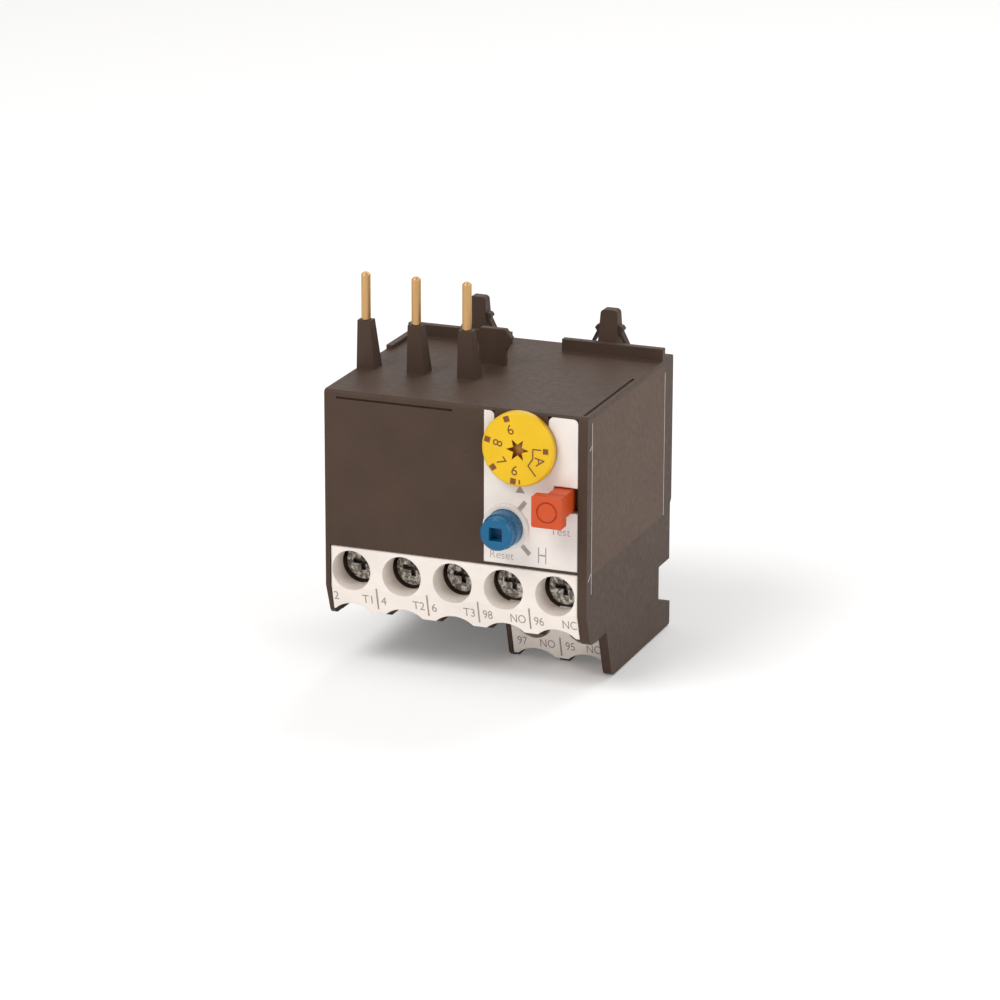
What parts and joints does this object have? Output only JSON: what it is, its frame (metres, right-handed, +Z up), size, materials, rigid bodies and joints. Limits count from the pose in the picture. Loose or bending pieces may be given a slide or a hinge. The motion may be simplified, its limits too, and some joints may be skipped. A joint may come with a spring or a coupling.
{
  "type": "thermal_overload_relay",
  "caption": "Plug-on three-pole thermal overload relay with setting dial, blue reset button, red test button and screw terminals",
  "frame": {"origin": "On the top face that meets the contactor, mid-width, on the line of the three contact pins", "axes": "+X to the right seen from the front, +Y into the depth, +Z up towards the contactor"},
  "size_m": [0.045, 0.0455, 0.063],
  "materials": {
    "casing": "moulded, fine matt grain",
    "white_cover": "moulded, satin",
    "panel": "moulded, satin, printed marks",
    "dial": "moulded, satin",
    "mechanism": "moulded, satin",
    "selector_ring": "moulded, satin",
    "blue_button": "moulded, satin",
    "orange_button": "moulded, satin",
    "spring_steel": "bright drawn wire",
    "pin_metal": "bright copper alloy",
    "bimetal": "rolled strip",
    "heater_wire": "dull resistance wire",
    "screw_steel": "zinc plated, passivated",
    "clamp_steel": "zinc plated",
    "contact_metal": "stamped copper alloy"
  },
  "bodies": {
    "casing": {"main_housing": "casing", "partition_frame": "mechanism", "rear_cover": "casing", "terminal_cover": "white_cover", "lower_terminal_cover": "white_cover", "setting_panel": "panel", "adjusting_lever_pin": "spring_steel", "reset_spring": "spring_steel", "test_spring": "spring_steel", "carrier_spring": "spring_steel", "contact_pin_1": "pin_metal", "contact_pin_2": "pin_metal", "contact_pin_3": "pin_metal", "terminal_bar_t1": "contact_metal", "terminal_bar_t2": "contact_metal", "terminal_bar_t3": "contact_metal", "terminal_bar_98": "contact_metal", "terminal_bar_96": "contact_metal", "terminal_bar_97": "contact_metal", "terminal_bar_95": "contact_metal"},
    "dial": {"current_dial": "dial", "setting_cam": "mechanism"},
    "selector": {"reset_selector": "selector_ring"},
    "reset": {"reset_button": "blue_button"},
    "test": {"test_button": "orange_button"},
    "slide": {"trip_slide": "mechanism"},
    "adjuster": {"adjusting_lever": "mechanism", "trip_lever_pin": "spring_steel"},
    "tripper": {"trip_lever": "mechanism", "compensation_strip": "bimetal"},
    "carrier": {"contact_carrier": "mechanism", "nc_contact_bridge": "contact_metal", "no_contact_bridge": "contact_metal"},
    "pole_1": {"bimetal_strip_1": "bimetal", "heater_winding_1": "heater_wire"},
    "pole_2": {"bimetal_strip_2": "bimetal", "heater_winding_2": "heater_wire"},
    "pole_3": {"bimetal_strip_3": "bimetal", "heater_winding_3": "heater_wire"},
    "clamp_t1": {"clamp_washer_t1": "clamp_steel"},
    "screw_t1": {"terminal_screw_t1": "screw_steel"},
    "clamp_t2": {"clamp_washer_t2": "clamp_steel"},
    "screw_t2": {"terminal_screw_t2": "screw_steel"},
    "clamp_t3": {"clamp_washer_t3": "clamp_steel"},
    "screw_t3": {"terminal_screw_t3": "screw_steel"},
    "clamp_98": {"clamp_washer_98": "clamp_steel"},
    "screw_98": {"terminal_screw_98": "screw_steel"},
    "clamp_96": {"clamp_washer_96": "clamp_steel"},
    "screw_96": {"terminal_screw_96": "screw_steel"},
    "clamp_97": {"clamp_washer_97": "clamp_steel"},
    "screw_97": {"terminal_screw_97": "screw_steel"},
    "clamp_95": {"clamp_washer_95": "clamp_steel"},
    "screw_95": {"terminal_screw_95": "screw_steel"}
  },
  "joints": [
    {"name": "dial_turn", "type": "hinge", "parent": "casing", "child": "dial", "pos_m": [0.01135, -0.0143, -0.00595], "axis": [0, -1, 0], "range_deg": [0, 150]},
    {"name": "adjuster_swing", "type": "hinge", "parent": "casing", "child": "adjuster", "pos_m": [0.0148, 0.0052, -0.0136], "axis": [0, -1, 0], "range_deg": [0, 5.09]},
    {"name": "pole_1_bend", "type": "hinge", "parent": "casing", "child": "pole_1", "pos_m": [-0.0181, 0.0087, -0.004], "axis": [0, -1, 0], "range_deg": [0, 4.39]},
    {"name": "pole_2_bend", "type": "hinge", "parent": "casing", "child": "pole_2", "pos_m": [-0.0093, 0.0087, -0.004], "axis": [0, -1, 0], "range_deg": [0, 4.38], "stiffness_Nm_per_rad": 0.05},
    {"name": "pole_3_bend", "type": "hinge", "parent": "casing", "child": "pole_3", "pos_m": [-0.0005, 0.0087, -0.004], "axis": [0, -1, 0], "range_deg": [0, 4.39]},
    {"name": "slide_travel", "type": "slide", "parent": "casing", "child": "slide", "axis": [1, 0, 0], "range_m": [0, 0.00201]},
    {"name": "trip_swing", "type": "hinge", "parent": "adjuster", "child": "tripper", "pos_m": [0.015, 0.0087, -0.0195], "axis": [0, -1, 0], "range_deg": [0, 10.79]},
    {"name": "carrier_travel", "type": "slide", "parent": "casing", "child": "carrier", "axis": [0, 0, -1], "range_m": [0, 0.00201], "deforming": ["carrier_spring"]},
    {"name": "selector_turn", "type": "hinge", "parent": "casing", "child": "selector", "pos_m": [0.00883, -0.0143, -0.0194], "axis": [0, -1, 0], "range_deg": [0, 90]},
    {"name": "reset_press", "type": "slide", "parent": "selector", "child": "reset", "axis": [0, 1, 0], "range_m": [0, 0.0025], "stiffness_N_per_m": 350, "deforming": ["reset_spring"]},
    {"name": "test_press", "type": "slide", "parent": "casing", "child": "test", "axis": [0, 1, 0], "range_m": [0, 0.002], "stiffness_N_per_m": 350, "deforming": ["test_spring"]},
    {"name": "clamp_t1_lift", "type": "slide", "parent": "casing", "child": "clamp_t1", "axis": [0, -1, 0], "range_m": [0, 0.0025]},
    {"name": "screw_t1_turn", "type": "hinge", "parent": "clamp_t1", "child": "screw_t1", "pos_m": [-0.0181, -0.0091, -0.03015], "axis": [0, -1, 0], "range_deg": [0, 1504]},
    {"name": "clamp_t2_lift", "type": "slide", "parent": "casing", "child": "clamp_t2", "axis": [0, -1, 0], "range_m": [0, 0.0025]},
    {"name": "screw_t2_turn", "type": "hinge", "parent": "clamp_t2", "child": "screw_t2", "pos_m": [-0.0093, -0.0091, -0.03015], "axis": [0, -1, 0], "range_deg": [0, 1504]},
    {"name": "clamp_t3_lift", "type": "slide", "parent": "casing", "child": "clamp_t3", "axis": [0, -1, 0], "range_m": [0, 0.0025]},
    {"name": "screw_t3_turn", "type": "hinge", "parent": "clamp_t3", "child": "screw_t3", "pos_m": [-0.0005, -0.0091, -0.03015], "axis": [0, -1, 0], "range_deg": [0, 1504]},
    {"name": "clamp_98_lift", "type": "slide", "parent": "casing", "child": "clamp_98", "axis": [0, -1, 0], "range_m": [0, 0.0025]},
    {"name": "screw_98_turn", "type": "hinge", "parent": "clamp_98", "child": "screw_98", "pos_m": [0.0083, -0.0091, -0.03015], "axis": [0, -1, 0], "range_deg": [0, 1504]},
    {"name": "clamp_96_lift", "type": "slide", "parent": "casing", "child": "clamp_96", "axis": [0, -1, 0], "range_m": [0, 0.0025]},
    {"name": "screw_96_turn", "type": "hinge", "parent": "clamp_96", "child": "screw_96", "pos_m": [0.0171, -0.0091, -0.03015], "axis": [0, -1, 0], "range_deg": [0, 1504]},
    {"name": "clamp_97_lift", "type": "slide", "parent": "casing", "child": "clamp_97", "axis": [0, -1, 0], "range_m": [0, 0.0025]},
    {"name": "screw_97_turn", "type": "hinge", "parent": "clamp_97", "child": "screw_97", "pos_m": [0.0083, 0.005, -0.0396], "axis": [0, -1, 0], "range_deg": [0, 1504]},
    {"name": "clamp_95_lift", "type": "slide", "parent": "casing", "child": "clamp_95", "axis": [0, -1, 0], "range_m": [0, 0.0025]},
    {"name": "screw_95_turn", "type": "hinge", "parent": "clamp_95", "child": "screw_95", "pos_m": [0.0171, 0.005, -0.0396], "axis": [0, -1, 0], "range_deg": [0, 1504]}
  ],
  "couplings": [
    {"joint": "adjuster_swing", "follows": "dial_turn", "ratio": 0.033805},
    {"joint": "pole_1_bend", "follows": "pole_2_bend", "ratio": 1},
    {"joint": "pole_3_bend", "follows": "pole_2_bend", "ratio": 1},
    {"joint": "slide_travel", "follows": "pole_2_bend", "m_per_rad": 0.026174},
    {"joint": "trip_swing", "follows": "pole_2_bend", "ratio": 2.4607},
    {"joint": "carrier_travel", "follows": "pole_2_bend", "m_per_rad": 0.026174},
    {"joint": "screw_t1_turn", "follows": "clamp_t1_lift", "rad_per_m": 10472},
    {"joint": "screw_t2_turn", "follows": "clamp_t2_lift", "rad_per_m": 10472},
    {"joint": "screw_t3_turn", "follows": "clamp_t3_lift", "rad_per_m": 10472},
    {"joint": "screw_98_turn", "follows": "clamp_98_lift", "rad_per_m": 10472},
    {"joint": "screw_96_turn", "follows": "clamp_96_lift", "rad_per_m": 10472},
    {"joint": "screw_97_turn", "follows": "clamp_97_lift", "rad_per_m": 10472},
    {"joint": "screw_95_turn", "follows": "clamp_95_lift", "rad_per_m": 10472}
  ]
}
